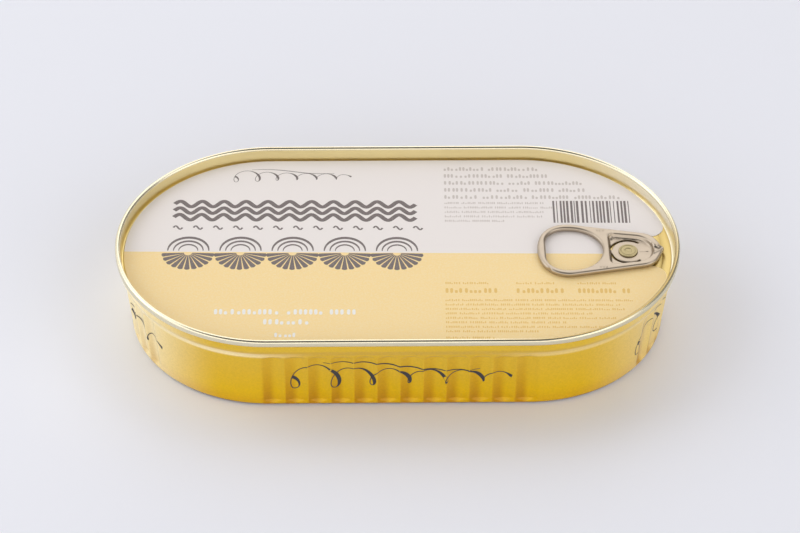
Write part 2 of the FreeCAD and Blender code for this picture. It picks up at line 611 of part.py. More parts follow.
def build_pull_tab():
    """Ring-pull tab: finger ring, crossbar, sunk pan with the hinge slit, rivet hole and pointed nose."""
    body = new_body("pull_tab")
    under = "Sizes.can_height - Sizes.panel_depth + Sizes.tab_lift"

    def tab_sketch(name, lift):
        sketch = sketch_on(body, "XY_Plane", name, lift)
        sketch.setExpression(".AttachmentOffset.Base.x", cell("rivet_reach"))
        sketch.setExpression(".AttachmentOffset.Base.y", cell("rivet_shift"))
        return sketch

    outline = tab_sketch("tab_outline", under)
    tab_outline(outline)
    plate = body.newObject("PartDesign::Pad", "tab_plate")
    plate.Profile = outline
    plate.setExpression("Length", cell("tab_thickness"))
    top = under + " + Sizes.tab_thickness"

    hole = tab_sketch("finger_hole_outline", top)
    finger_hole(hole)
    hole_cut = body.newObject("PartDesign::Pocket", "finger_hole")
    hole_cut.Profile = hole
    hole_cut.setExpression("Length", cell("tab_thickness"))
    doc.recompute()

    low, high = value(under), value(top)
    curl = body.newObject("PartDesign::Fillet", "curled_edges")
    curl.Base = (hole_cut, edges_where(hole_cut, lambda edge: flat_at(low)(edge) or flat_at(high)(edge)))
    curl.setExpression("Radius", cell("tab_edge_round"))
    body.Tip = curl

    web = under + " + Sizes.tab_web"
    pan = tab_sketch("pan_outline", top)
    pan_outline(pan)
    pan_cut = body.newObject("PartDesign::Pocket", "pan")
    pan_cut.Profile = pan
    pan_cut.setExpression("Length", "Sizes.tab_thickness - Sizes.tab_web")
    pan_cut.setExpression("TaperAngle", "-Sizes.pan_draft * 1deg")
    doc.recompute()

    floor = value(web)
    pan_brim = edges_where(pan_cut, lambda edge: flat_at(high)(edge) and in_pan(edge))
    soft = body.newObject("PartDesign::Fillet", "pan_edges")
    soft.Base = (pan_cut, pan_brim + edges_where(pan_cut, flat_at(floor)))
    soft.setExpression("Radius", cell("pan_edge_round"))
    doc.recompute()

    web = under + " + Sizes.tab_web"
    slit = tab_sketch("hinge_slit_outline", web)
    hinge_slit(slit)
    slit_cut = body.newObject("PartDesign::Pocket", "hinge_slit")
    slit_cut.Profile = slit
    slit_cut.setExpression("Length", cell("tab_web"))

    hole = tab_sketch("rivet_hole_outline", web)
    circle = hole.addGeometry(Part.Circle(V(0, 0, 0), V(0, 0, 1), size("shank_radius")))
    constrain(hole, "Coincident", circle, CENTRE, *ORIGIN)
    drive(hole, "shank", cell("shank_radius"), "Radius", circle, size("shank_radius"))
    hole_cut = body.newObject("PartDesign::Pocket", "rivet_hole")
    hole_cut.Profile = hole
    hole_cut.setExpression("Length", cell("tab_web"))
    body.Tip = hole_cut
    doc.recompute()
    return body


bodies = [build_can_body(), build_lid(), build_label(), build_pull_tab()]
doc.recompute()
for item in doc.Objects:
    if "Invalid" in item.State or "Error" in item.State:
        raise SystemExit("%s did not recompute" % item.Name)
os.makedirs("parts", exist_ok=True)
for body in bodies:
    if body.Shape.isNull() or not body.Shape.isValid() or len(body.Shape.Solids) != 1:
        raise SystemExit("%s is not one sound solid" % body.Label)
    body.Shape.exportStep("parts/%s.step" % body.Label)
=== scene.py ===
"""Looks of a shut oval fish tin: lacquered body, easy-open lid, printed paper label and ring-pull tab.

Sizes below are in millimetres in the part's own frame and become metres when a piece is made.
"""

import math
import random

import bmesh
import bpy
from mathutils import Matrix, Vector


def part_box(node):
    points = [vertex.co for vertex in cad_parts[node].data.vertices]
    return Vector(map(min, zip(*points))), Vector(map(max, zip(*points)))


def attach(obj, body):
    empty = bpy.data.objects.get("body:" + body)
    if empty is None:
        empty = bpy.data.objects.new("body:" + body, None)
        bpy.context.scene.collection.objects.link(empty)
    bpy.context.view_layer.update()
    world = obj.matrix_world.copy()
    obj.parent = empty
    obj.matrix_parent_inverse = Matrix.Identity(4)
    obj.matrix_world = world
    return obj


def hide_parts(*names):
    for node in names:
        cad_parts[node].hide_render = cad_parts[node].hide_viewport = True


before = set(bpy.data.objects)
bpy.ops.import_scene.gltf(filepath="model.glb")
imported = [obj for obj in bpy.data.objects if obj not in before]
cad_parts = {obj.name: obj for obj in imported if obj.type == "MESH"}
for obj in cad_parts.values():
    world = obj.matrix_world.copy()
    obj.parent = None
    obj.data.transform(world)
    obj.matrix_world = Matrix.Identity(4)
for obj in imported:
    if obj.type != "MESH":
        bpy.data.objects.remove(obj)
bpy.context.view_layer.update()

MM = 0.001

# ---------------------------------------------------------------- sizes
# The driving sizes come from the frame; the rest are the part's own, as its source has them.
lid_low, lid_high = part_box("lid")
LENGTH = (lid_high.x - lid_low.x) / MM
WIDTH = (lid_high.y - lid_low.y) / MM
HEIGHT = lid_high.z / MM
HALF = (LENGTH - WIDTH) / 2
LABEL_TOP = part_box("label")[1].z / MM
TAB_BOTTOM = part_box("pull_tab")[0].z / MM

SEAM_HEIGHT, SEAM_THICKNESS, HEM_ROUND = 1.8, 1.3, 0.35
NECK_SETBACK, NECK_HEIGHT, SHOULDER_SETBACK, SHOULDER_HEIGHT = 0.6, 2.1, 1.8, 2.3
FOOT_SETBACK, FOOT_ROUND, FOOT_RING, BASE_LIFT, BASE_RIM = 3.575, 1.2, 4.5, 0.8, 4.0
SHOULDER = HEIGHT - SEAM_HEIGHT - NECK_HEIGHT - SHOULDER_HEIGHT
FLUTE_PITCH, FLUTE_COUNT, FLUTE_DEPTH, FLUTE_RADIUS = 5.91, 12, 0.7, 6.2
FLUTE_FOOT, FLUTE_TOP, FLUTE_RUNOUT, FLUTE_CLEARANCE = 0.9, 0.1, 1.1, 0.2
END_FLUTES, END_FLUTE_ANGLE = 10, math.radians(8.0)
SEAT_SETBACK, UNDERSIDE_DEPTH, PANEL_DEPTH = 1.1, 4.65, 3.72
GROOVE_DEPTH, GROOVE_RADIUS, PANEL_ROUND = 4.35, 0.25, 0.3
CHUCK_LEAN, BRIGHT_RIM = 0.2, 0.4
SCORE_SETBACK, SCORE_WIDTH, SCORE_DEPTH, PANEL_RIM = 4.3, 0.3, 0.1, 2.0
RIVET = Vector((60.5, -1.6, 0))
RIVET_WEB, RIVET_HEAD = 0.4, 0.4


# ---------------------------------------------------------------- making pieces
def piece(name, bm, finishes, slot_name, *nodes, smooth_angle=35):
    """Finished piece of the tin from a bmesh in millimetres, in place of the nodes that are named."""
    bmesh.ops.scale(bm, vec=(MM, MM, MM), verts=bm.verts)
    mesh = bpy.data.meshes.new(name)
    bm.to_mesh(mesh)
    bm.free()
    for finish in finishes:
        mesh.materials.append(finish)
    mesh.shade_smooth()
    mesh.set_sharp_from_angle(angle=math.radians(smooth_angle))
    made = bpy.data.objects.new(name, mesh)
    bpy.context.scene.collection.objects.link(made)
    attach(made, "root")
    if nodes:
        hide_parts(*nodes)


def rounded(corners, steps=6):
    """Points of a path whose corners are (setback, height, radius), each rounded to its radius."""
    points = []
    for i, (x, y, radius) in enumerate(corners):
        here = Vector((x, y))
        if radius == 0 or i in (0, len(corners) - 1):
            points.append(here)
            continue
        before = (Vector(corners[i - 1][:2]) - here).normalized()
        after = (Vector(corners[i + 1][:2]) - here).normalized()
        half_angle = before.angle(after) / 2
        middle = here + (before + after).normalized() * (radius / math.sin(half_angle))
        reach = radius / math.tan(half_angle)
        start = here + before * reach - middle
        turn = start.angle_signed(here + after * reach - middle)
        for step in range(steps + 1):
            points.append(middle + Matrix.Rotation(-turn * step / steps, 2) @ start)
    return points


def divided(points, spacing):
    """The same path with its long stretches divided, so that no step is longer than the spacing."""
    path = [points[0]]
    for point in points[1:]:
        count = max(1, math.ceil((point - path[-1]).length / spacing))
        start = path[-1].copy()
        path.extend(start.lerp(point, (step + 1) / count) for step in range(count))
    return path


def swept(path, side_steps, end_steps):
    """Section of (setback, height) points carried once round the oval and closed flat inside."""
    bm = bmesh.new()
    verts = [bm.verts.new((HALF, point.x - WIDTH / 2, point.y)) for point in path]
    geometry = verts + [bm.edges.new(pair) for pair in zip(verts, verts[1:])]
    for middle, step in ((HALF, -1), (-HALF, 1)):
        turned = bmesh.ops.spin(bm, geom=geometry, cent=(middle, 0, 0), axis=(0, 0, 1),
                                angle=math.pi, steps=end_steps)
        moved = bmesh.ops.spin(bm, geom=turned["geom_last"], cent=(middle, 0, 0), axis=(0, 0, 1),
                               dvec=(step * 2 * HALF / side_steps, 0, 0), angle=0, steps=side_steps)
        geometry = moved["geom_last"]
    bmesh.ops.remove_doubles(bm, verts=bm.verts, dist=1e-4)
    bmesh.ops.holes_fill(bm, edges=[edge for edge in bm.edges if edge.is_boundary], sides=0)
    bmesh.ops.recalc_face_normals(bm, faces=bm.faces)
    return bm


def setback_of(co):
    """How far in from the seam's outline a point lies."""
    across = Vector((max(abs(co.x) - HALF, 0), co.y))
    return WIDTH / 2 - across.length


def outward(co):
    """Level direction that points straight out of the oval at a point."""
    return Vector((math.copysign(max(abs(co.x) - HALF, 0), co.x), co.y, 0)).normalized()


# ---------------------------------------------------------------- materials
CLOUD = (0.3, 0.7)  # between which a noise cloud mostly stays


def material(name, color, roughness, metallic=0.0, **inputs):
    """New material on the standard shader; further inputs are named with underscores."""
    made = bpy.data.materials.new(name)
    made.use_nodes = True
    shader = shader_of(made)
    shader.inputs["Base Color"].default_value = (*color, 1)
    shader.inputs["Roughness"].default_value = roughness
    shader.inputs["Metallic"].default_value = metallic
    for key, value in inputs.items():
        shader.inputs[key.replace("_", " ")].default_value = value
    return made


def shader_of(made):
    """The one shader of a material."""
    return made.node_tree.nodes["Principled BSDF"]


def node(made, kind, **settings):
    """New node, with each setting given to its input of that name or to the node itself."""
    added = made.node_tree.nodes.new(kind)
    for key, value in settings.items():
        if key in added.inputs:
            added.inputs[key].default_value = value
        else:
            setattr(added, key, value)
    return added


def link(made, out_socket, in_socket):
    """Feed one socket into another."""
    made.node_tree.links.new(out_socket, in_socket)


def paint(made, color):
    """Give the shader its colour from a socket."""
    link(made, color, shader_of(made).inputs["Base Color"])


def place_on_part(made):
    """Socket of the point that is being coloured, in the part's own space."""
    return node(made, "ShaderNodeTexCoord").outputs["Object"]


def remap(made, value, start, end, low=0.0, high=1.0, **settings):
    """Socket of a value carried from start and end to low and high."""
    spread = node(made, "ShaderNodeMapRange", **settings)
    for name, number in (("From Min", start), ("From Max", end), ("To Min", low), ("To Max", high)):
        spread.inputs[name].default_value = number
    link(made, value, spread.inputs["Value"])
    return spread.outputs["Result"]


def noise(made, scale, detail=2.0, stretch=(1, 1, 1)):
    """Noise in the part's own space, scale in cells to the metre; stretch widens it along an axis."""
    mapping = node(made, "ShaderNodeMapping", Scale=stretch)
    cloud = node(made, "ShaderNodeTexNoise", Scale=scale, Detail=detail)
    link(made, place_on_part(made), mapping.inputs["Vector"])
    link(made, mapping.outputs["Vector"], cloud.inputs["Vector"])
    return cloud


def vary(made, cloud, low, high, socket):
    """Spread a cloud over low to high on one of the shader's sockets."""
    link(made, remap(made, cloud.outputs["Fac"], *CLOUD, low, high), shader_of(made).inputs[socket])


def blend_colors(made, factor, first, second):
    """Socket of the mix of two colours, each a colour or a socket, by a factor."""
    mixed = node(made, "ShaderNodeMix", data_type="RGBA")
    link(made, factor, mixed.inputs["Factor"])
    for name, color in (("A", first), ("B", second)):
        if isinstance(color, tuple):
            mixed.inputs[name].default_value = (*color, 1)
        else:
            link(made, color, mixed.inputs[name])
    return mixed.outputs["Result"]


def bump(made, pattern, height):
    """Fine relief of a height in mm."""
    raised = node(made, "ShaderNodeBump", Strength=1.0, Distance=height * MM)
    link(made, pattern.outputs["Fac"], raised.inputs["Height"])
    link(made, raised.outputs["Normal"], shader_of(made).inputs["Normal"])


def shift_toward(made, aim, start, end, first, second):
    """Colour that goes softly from first to second between two distances from the middle toward aim."""
    along = node(made, "ShaderNodeVectorMath", operation="DOT_PRODUCT")
    along.inputs[1].default_value = Vector(aim).normalized()
    link(made, place_on_part(made), along.inputs[0])
    share = remap(made, along.outputs["Value"], start * MM, end * MM, interpolation_type="SMOOTHSTEP")
    paint(made, blend_colors(made, share, first, second))


def lacquered_gold():
    """Gold lacquer, deeper toward the foot and near black at the very foot as painted shade, with
    painted shade in one side of each flute and a pale painted sheen at the ends and over the shoulder.
    """
    made = material("gold_lacquer", (0.86, 0.54, 0.03), 0.4, 0.25, Specular_IOR_Level=0.0,
                    Coat_Weight=1.0, Coat_Roughness=0.17, Coat_IOR=1.32,
                    Sheen_Weight=0.15, Sheen_Roughness=0.3)
    parts = node(made, "ShaderNodeSeparateXYZ")
    link(made, place_on_part(made), parts.inputs["Vector"])
    # Height ramp of painted light: near black in a thin band at the very foot, painted shade where the
    # wall meets the floor, and less saturated toward the top, painted reflection of the floor.
    ramp = node(made, "ShaderNodeValToRGB")
    link(made, remap(made, parts.outputs["Z"], 0, HEIGHT * MM), ramp.inputs["Fac"])
    stops = ramp.color_ramp.elements
    stops[0].position, stops[0].color = 0.0, (0.06, 0.03, 0.004, 1)
    stops[1].position, stops[1].color = 1.0, (0.71, 0.465, 0.04, 1)
    for position, color in ((0.018, (0.25, 0.13, 0.004, 1)), (0.035, (0.70, 0.40, 0.0, 1)),
                            (0.2, (0.76, 0.48, 0.0, 1)), (0.55, (0.73, 0.465, 0.025, 1))):
        stops.new(position).color = color
    color = ramp.outputs["Color"]
    # Pale painted sheen and dark painted shade of the flutes, read from the body's vertex attributes.
    for name, tone in (("painted_sheen", (1.0, 0.87, 0.53)), ("painted_flute_shade", (0.52, 0.245, 0.0))):
        amount = node(made, "ShaderNodeAttribute", attribute_name=name)
        color = blend_colors(made, amount.outputs["Fac"], color, tone)
    mottle = node(made, "ShaderNodeMix", data_type="RGBA", blend_type="MULTIPLY", Factor=1.0)
    grain = noise(made, 1800, 3).outputs["Fac"]
    link(made, color, mottle.inputs["A"])
    link(made, remap(made, grain, *CLOUD, 0.94, 1.05), mottle.inputs["B"])
    paint(made, mottle.outputs["Result"])
    vary(made, noise(made, 2600), 0.36, 0.46, "Roughness")
    bump(made, noise(made, 900), 0.01)
    return made


def lid_gold(name, color, right_end_painted_light):
    """Gold lacquer of the lid, going to a second colour toward the right end and finely brushed across
    the tin; on the pale lid that is a near white painted highlight, on the panel a little darker.
    """
    made = material(name, color, 0.32, 1.0, Coat_Weight=0.6, Coat_Roughness=0.2)
    shift_toward(made, (1, 0, 0), 45, 74, color, right_end_painted_light)
    brushed = noise(made, 2200, 3, stretch=(1, 0.06, 0.3))
    vary(made, brushed, 0.28, 0.38, "Roughness")
    bump(made, brushed, 0.004)
    return made


def seam_metal(name, front_right_shade):
    """Bright seam with the rolls' fine upright marks, turning darker toward the front right as painted
    shade.
    """
    color = (0.80, 0.74, 0.55)
    made = material(name, color, 0.24, 1.0)
    shift_toward(made, (1, -1, 0), 38, 62, color, front_right_shade)
    vary(made, noise(made, 1600, 2, stretch=(1, 1, 0.12)), 0.2, 0.27, "Roughness")
    return made


def tab_metal():
    """Satin champagne metal of the pull tab."""
    made = material("champagne_metal", (0.45, 0.38, 0.30), 0.32, 1.0)
    vary(made, noise(made, 500, 3), 0.29, 0.36, "Roughness")
    return made


def rivet_metal():
    """Pale greenish gold of the rivet, with the round marks of the tool that headed it."""
    made = material("rivet_metal", (0.70, 0.65, 0.44), 0.36, 1.0)
    centred = node(made, "ShaderNodeMapping", Location=(-RIVET.x * MM, -RIVET.y * MM, 0))
    rings = node(made, "ShaderNodeTexWave", wave_type="RINGS", rings_direction="Z", Scale=700,
                 Distortion=1.0)
    link(made, place_on_part(made), centred.inputs["Vector"])
    link(made, centred.outputs["Vector"], rings.inputs["Vector"])
    paint(made, blend_colors(made, rings.outputs["Fac"], (0.35, 0.29, 0.15), (0.43, 0.36, 0.20)))
    bump(made, rings, 0.01)
    return made


PAPER_WHITE, PAPER_YELLOW, PAPER_FLECK = (0.82, 0.77, 0.75), (0.92, 0.69, 0.32), (0.93, 0.83, 0.62)


def coated_paper():
    """Label paper, white at the back and flecked yellow at the front, parted by one straight line."""
    made = material("label_paper", (0.80, 0.75, 0.72), 0.5)
    turned = node(made, "ShaderNodeMapping", Location=(0, 1.1 * MM, 0),
                  Rotation=(0, 0, math.radians(0.93)))
    parts = node(made, "ShaderNodeSeparateXYZ")
    front = node(made, "ShaderNodeMath", operation="LESS_THAN")
    front.inputs[1].default_value = 0.0
    link(made, place_on_part(made), turned.inputs["Vector"])
    link(made, turned.outputs["Vector"], parts.inputs["Vector"])
    link(made, parts.outputs["Y"], front.inputs[0])
    flecks = node(made, "ShaderNodeMath", operation="MULTIPLY")
    link(made, remap(made, noise(made, 2400, 4).outputs["Fac"], 0.45, 0.75, 0, 0.28), flecks.inputs[0])
    link(made, front.outputs["Value"], flecks.inputs[1])
    ground = blend_colors(made, front.outputs["Value"], PAPER_WHITE, PAPER_YELLOW)
    paint(made, blend_colors(made, flecks.outputs["Value"], ground, PAPER_FLECK))
    return made


def ink(name, color, specks=0.12):
    """Printed ink in which fine specks of the paper show."""
    made = material(name, color, 0.55)
    worn = remap(made, noise(made, 3000, 3).outputs["Fac"], 0.52, 0.72, 0, specks)
    paint(made, blend_colors(made, worn, color, PAPER_WHITE))
    return made


GOLD = lacquered_gold()
# The pale lid turns near white toward the right end, a painted highlight.
LID = lid_gold("pale_gold_lacquer", (0.88, 0.75, 0.38), (0.97, 0.92, 0.76))
PANEL = lid_gold("panel_gold_lacquer", (0.60, 0.46, 0.17), (0.58, 0.43, 0.14))
SEAM = seam_metal("seam_metal", (0.78, 0.71, 0.51))
# The crown's inner top turns dark brown toward the front right: painted shade, the dark line between
# the label and the seam.
SEAM_INSIDE_SHADE = seam_metal("seam_inside_painted_shade", (0.44, 0.33, 0.14))
TAB = tab_metal()
RIVET_METAL = rivet_metal()
PAPER = coated_paper()
DARK_INK = ink("dark_ink", (0.16, 0.13, 0.125))
GREY_INK = ink("grey_ink", (0.58, 0.52, 0.49))
WHITE_INK = ink("white_ink", (0.86, 0.84, 0.82))
OCHRE_INK = ink("ochre_ink", (0.80, 0.52, 0.14))
SIDE_INK = ink("side_ink", (0.03, 0.028, 0.035), 0.03)


# ---------------------------------------------------------------- the drawn body
TAPER = math.atan((FOOT_SETBACK - SHOULDER_SETBACK) / SHOULDER)
SLANT = SHOULDER / math.cos(TAPER)
FLUTE_SOFTNESS = 0.03
WALL_DEEPEST = FOOT_SETBACK + 0.5  # no point of the outer wall lies further in than this


def flute_cut(across, rise):
    """How deep one flute is pressed in, across mm from its middle and rise mm up the wall."""
    top = SLANT - FLUTE_TOP
    end = min(rise - FLUTE_FOOT, top - rise) / FLUTE_RUNOUT
    if end <= 0:
        return 0.0
    cutter = FLUTE_RADIUS - (FLUTE_DEPTH + FLUTE_CLEARANCE) * (1 - min(end, 1))
    if abs(across) >= cutter:
        return 0.0
    cut = math.sqrt(cutter ** 2 - across ** 2) - (FLUTE_RADIUS - FLUTE_DEPTH)
    return (cut + math.sqrt(cut * cut + FLUTE_SOFTNESS * FLUTE_SOFTNESS)) / 2


def flute_share(co):
    """Share of its flute that lies left of a point, seen from outside, or None off the flutes."""
    if abs(co.x) <= FLUTE_PITCH * FLUTE_COUNT / 2:
        along = co.x if co.y < 0 else -co.x
        return (along / FLUTE_PITCH) % 1
    if abs(co.x) <= HALF:
        return None
    angle = math.atan2(co.y, abs(co.x) - HALF) * math.copysign(1, co.x)
    if abs(angle) > END_FLUTE_ANGLE * END_FLUTES / 2:
        return None
    return (angle / END_FLUTE_ANGLE) % 1


def wall_cut(co):
    """How deep the flutes are at a point: a row on each long side and a fan round each end."""
    share = flute_share(co)
    if share is None:
        return 0.0
    rise = co.z / math.cos(TAPER)
    if abs(co.x) <= HALF:
        return flute_cut((share - 0.5) * FLUTE_PITCH, rise)
    radius = math.hypot(abs(co.x) - HALF, co.y)
    across = radius * math.sin((share - 0.5) * END_FLUTE_ANGLE)
    return max(flute_cut(across, rise) - across * across / (2 * radius), 0.0)


def fade(value, start, end):
    """Soft step from 0 at start to 1 at end."""
    share = min(max((value - start) / (end - start), 0), 1)
    return share * share * (3 - 2 * share)


def painted_flute_shade(co):
    """How much painted shade a point gets: in the left side of each flute, most at the foot."""
    share = flute_share(co)
    if share is None or setback_of(co) > WALL_DEEPEST:
        return 0.0
    side = fade(share, 0.0, 0.08) * fade(share, 0.64, 0.30) * (1 - 0.85 * painted_sheen(co))
    return side * math.exp(-max(co.z - 2, 0) / 11) * fade(co.z, SHOULDER + 0.3, SHOULDER - 1.5)


def painted_sheen(co):
    """How much pale painted sheen a point gets: at both ends, more at the left, and over the shoulder.
    """
    bend = fade(co.z, SHOULDER - 1.0, SHOULDER - 0.4) * fade(co.z, SHOULDER + 1.4, SHOULDER + 0.9)
    end = fade(abs(co.x), HALF + 12, HALF + WIDTH / 2)
    thin = max(end, 0.8 * bend * fade(abs(co.x), 20, HALF + 10))
    return thin if co.x < 0 else 0.5 * thin


def make_body():
    """The drawn body from its base over the foot, wall and shoulder to the neck, with its flutes."""
    inner = FOOT_SETBACK + FOOT_RING
    seat = HEIGHT - UNDERSIDE_DEPTH
    neck_top = HEIGHT - SEAM_HEIGHT
    shoulder_top = SHOULDER + SHOULDER_HEIGHT
    outside = rounded([(inner, BASE_LIFT, 0), (inner, 0, 0.3), (FOOT_SETBACK, 0, FOOT_ROUND),
                       (SHOULDER_SETBACK, SHOULDER, 2.5), (NECK_SETBACK, shoulder_top, 1.6),
                       (NECK_SETBACK, neck_top, 0)])
    path = [Vector((inner + BASE_RIM, BASE_LIFT))] + divided(outside, 0.45)
    path += [Vector((SEAT_SETBACK, neck_top)), Vector((SEAT_SETBACK, seat)), Vector((inner, seat))]
    bm = swept(path, side_steps=170, end_steps=180)
    for vert in bm.verts:
        if vert.co.z < SHOULDER and setback_of(vert.co) < WALL_DEEPEST:
            vert.co -= outward(vert.co) * wall_cut(vert.co)
    # Painted shade in the flutes and painted sheen at the ends and over the shoulder, kept as vertex
    # attributes for the lacquer.
    for name, amount in (("painted_flute_shade", painted_flute_shade), ("painted_sheen", painted_sheen)):
        layer = bm.verts.layers.float.new(name)
        for vert in bm.verts:
            vert[layer] = amount(vert.co)
    piece("drawn_body", bm, [GOLD], "can_gold", "can_body")


# ---------------------------------------------------------------- the lid
def arc_points(centre, radius, start, end, steps):
    """Points on an arc, angles in degrees, 0 toward the middle of the tin and 90 up."""
    angles = [math.radians(start + (end - start) * step / steps) for step in range(steps + 1)]
    return [Vector((centre[0] + radius * math.cos(angle), centre[1] + radius * math.sin(angle)))
            for angle in angles]


def make_lid():
    """The lid: its section runs from the underside round the seam, chuck wall, groove and score."""
    panel = HEIGHT - PANEL_DEPTH
    underside = HEIGHT - UNDERSIDE_DEPTH
    crown = SEAM_THICKNESS / 2
    groove = SEAM_THICKNESS + CHUCK_LEAN + GROOVE_RADIUS
    groove_level = HEIGHT - GROOVE_DEPTH + GROOVE_RADIUS
    bead = groove + GROOVE_RADIUS + PANEL_ROUND
    hem = HEIGHT - SEAM_HEIGHT
    path = [Vector((SCORE_SETBACK + PANEL_RIM, underside)), Vector((SEAT_SETBACK, underside)),
            Vector((SEAT_SETBACK, hem))]
    path += arc_points((HEM_ROUND, hem + HEM_ROUND), HEM_ROUND, -90, -180, 5)
    path += arc_points((crown, HEIGHT - crown), crown, 180, 0, 14)
    path += arc_points((groove, groove_level), GROOVE_RADIUS, 180, 360, 8)
    path += arc_points((bead, panel - PANEL_ROUND), PANEL_ROUND, 180, 90, 6)
    path += [Vector((SCORE_SETBACK, panel)),
             Vector((SCORE_SETBACK + SCORE_WIDTH / 2, panel - SCORE_DEPTH)),
             Vector((SCORE_SETBACK + SCORE_WIDTH, panel)), Vector((SCORE_SETBACK + PANEL_RIM, panel))]
    bm = swept(path, side_steps=1, end_steps=120)
    for face in bm.faces:
        middle = face.calc_center_median()
        setback = setback_of(middle)
        if middle.z > hem and setback < BRIGHT_RIM:
            face.material_index = 1
        # The crown's inner top gets the seam metal with painted shade toward the front right.
        elif middle.z > HEIGHT - crown and setback < SEAM_THICKNESS:
            face.material_index = 2
        elif setback > groove + GROOVE_RADIUS:
            face.material_index = 3
    piece("lid_and_seam", bm, [LID, SEAM, SEAM_INSIDE_SHADE, PANEL], "lid_gold", "lid")


def make_rivet():
    """The rivet's button under the tab, its shank, and a flat round head with a ring and a dimple."""
    panel = HEIGHT - PANEL_DEPTH
    button = TAB_BOTTOM
    web = button + RIVET_WEB
    head = web + RIVET_HEAD
    section = rounded([(4.0, panel - 0.1, 0), (3.5, button, 0.2), (1.6, button, 0), (1.6, web, 0),
                       (2.55, web, 0.15), (2.55, head, 0.22), (2.1, head, 0.1),
                       (1.95, head - 0.08, 0.1), (1.75, head, 0.1), (1.0, head, 0.1),
                       (0.8, head - 0.12, 0.1), (0.35, head - 0.05, 0.1), (0, head - 0.05, 0)], steps=4)
    bm = bmesh.new()
    verts = [bm.verts.new((RIVET.x + point.x, RIVET.y, point.y)) for point in section]
    edges = [bm.edges.new(pair) for pair in zip(verts, verts[1:])]
    bmesh.ops.spin(bm, geom=verts + edges, cent=RIVET, axis=(0, 0, 1), angle=math.tau, steps=64,
                   use_merge=True)
    bmesh.ops.remove_doubles(bm, verts=bm.verts, dist=1e-4)
    bmesh.ops.holes_fill(bm, edges=[edge for edge in bm.edges if edge.is_boundary], sides=0)
    bmesh.ops.recalc_face_normals(bm, faces=bm.faces)
    piece("rivet_head", bm, [RIVET_METAL], "lid_gold", smooth_angle=40)


# ---------------------------------------------------------------- the tab
def near_line(point, start, end):
    """How far a flat point lies from a stretch of line."""
    along = end - start
    share = min(max((point - start).dot(along) / along.length_squared, 0), 1)
    return (point - start - along * share).length


def tab_relief(point):
    """Height in mm that the tab's fine forms add at a flat point measured from the rivet."""
    def ridge(start, end, width, height):
        return height * math.exp(-(near_line(point, Vector(start), Vector(end)) / width) ** 2)
    nose = ridge((6.6, 1.9), (8.9, 0.3), 0.4, 0.24) + ridge((6.6, -1.9), (8.9, -0.3), 0.4, 0.24)
    nose += ridge((7.1, 0.3), (8.6, 0.0), 0.3, -0.3) + ridge((7.7, 0.9), (8.2, 0.5), 0.2, 0.2)
    pit = ridge((-4.25, 5.55), (-4.2, 5.5), 0.75, 0.5)
    score = ridge((3.0, -0.3), (5.1, -0.1), 0.1, -0.1) + ridge((5.2, -0.1), (5.25, -0.1), 0.2, -0.1)
    gauge = sum(ridge((-7.7 + 0.75 * i, side * 7.75), (-7.7 + 0.75 * i, side * 7.25), 0.2, 0.12)
                for i in range(3) for side in (-1, 1))
    return nose + pit + score + gauge


def skinned_tab(skin):
    """The tab's own solid as one even closed mesh in mm, its edges a little rounded."""
    copy = bpy.data.objects.new("tab_blank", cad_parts["pull_tab"].data.copy())
    bpy.context.scene.collection.objects.link(copy)
    merged = bmesh.new()
    merged.from_mesh(copy.data)
    bmesh.ops.remove_doubles(merged, verts=merged.verts, dist=1e-7)
    merged.to_mesh(copy.data)
    merged.free()
    remesh = copy.modifiers.new("skin", "REMESH")
    remesh.mode = "VOXEL"
    remesh.voxel_size = skin * MM
    bpy.context.view_layer.update()
    even = bpy.data.meshes.new_from_object(copy.evaluated_get(bpy.context.evaluated_depsgraph_get()))
    bpy.data.objects.remove(copy)
    bm = bmesh.new()
    bm.from_mesh(even)
    bmesh.ops.scale(bm, vec=(1 / MM, 1 / MM, 1 / MM), verts=bm.verts)
    for _ in range(3):
        bmesh.ops.smooth_vert(bm, verts=bm.verts, factor=0.5,
                              use_axis_x=True, use_axis_y=True, use_axis_z=True)
    return bm


def make_tab():
    """The pull tab with its fine relief and the small nick in its ring."""
    bm = skinned_tab(0.15)
    nick, nick_reach = RIVET + Vector((-21.3, -8.0, TAB_BOTTOM + 0.9)), 0.9
    for vert in bm.verts:
        if vert.normal.z > 0.2:
            vert.co.z += tab_relief((vert.co - RIVET).to_2d())
        reach = (vert.co - nick).length
        if reach < nick_reach:
            vert.co += Vector((0.7, 0.7, 0)) * 0.4 * (1 - reach / nick_reach)
    piece("ring_pull", bm, [TAB], "tab_metal", "pull_tab", smooth_angle=60)


# ---------------------------------------------------------------- print
PRINT_TURN = Matrix.Rotation(math.radians(-0.7), 3, "Z")
PRINT_LIFT, SIDE_LIFT, INK_THICKNESS = 0.015, 0.03, 0.01
WAVE_RUN = 57
rng = random.Random(7)


def patch(bm, across, along, place):
    """Grid of across by along cells whose corners, 0 to 1 both ways, go where place says."""
    grid = bmesh.ops.create_grid(bm, x_segments=across, y_segments=along, size=0.5)
    for vert in grid["verts"]:
        vert.co = place(vert.co.x + 0.5, vert.co.y + 0.5)


def on_label(x, y):
    """Point of the print, turned the little that the label is."""
    return PRINT_TURN @ Vector((x, y, 0)) + Vector((0, 0, LABEL_TOP + PRINT_LIFT))


def printed(name, bm, colour):
    """Print as a thin layer of ink."""
    bmesh.ops.recalc_face_normals(bm, faces=bm.faces)
    bmesh.ops.solidify(bm, geom=bm.faces, thickness=INK_THICKNESS)
    piece(name, bm, [colour], "label_paper")


def bar(bm, left, low, right, high):
    """Plain upright bar on the label."""
    patch(bm, 1, 1, lambda u, v: on_label(left + (right - left) * u, low + (high - low) * v))


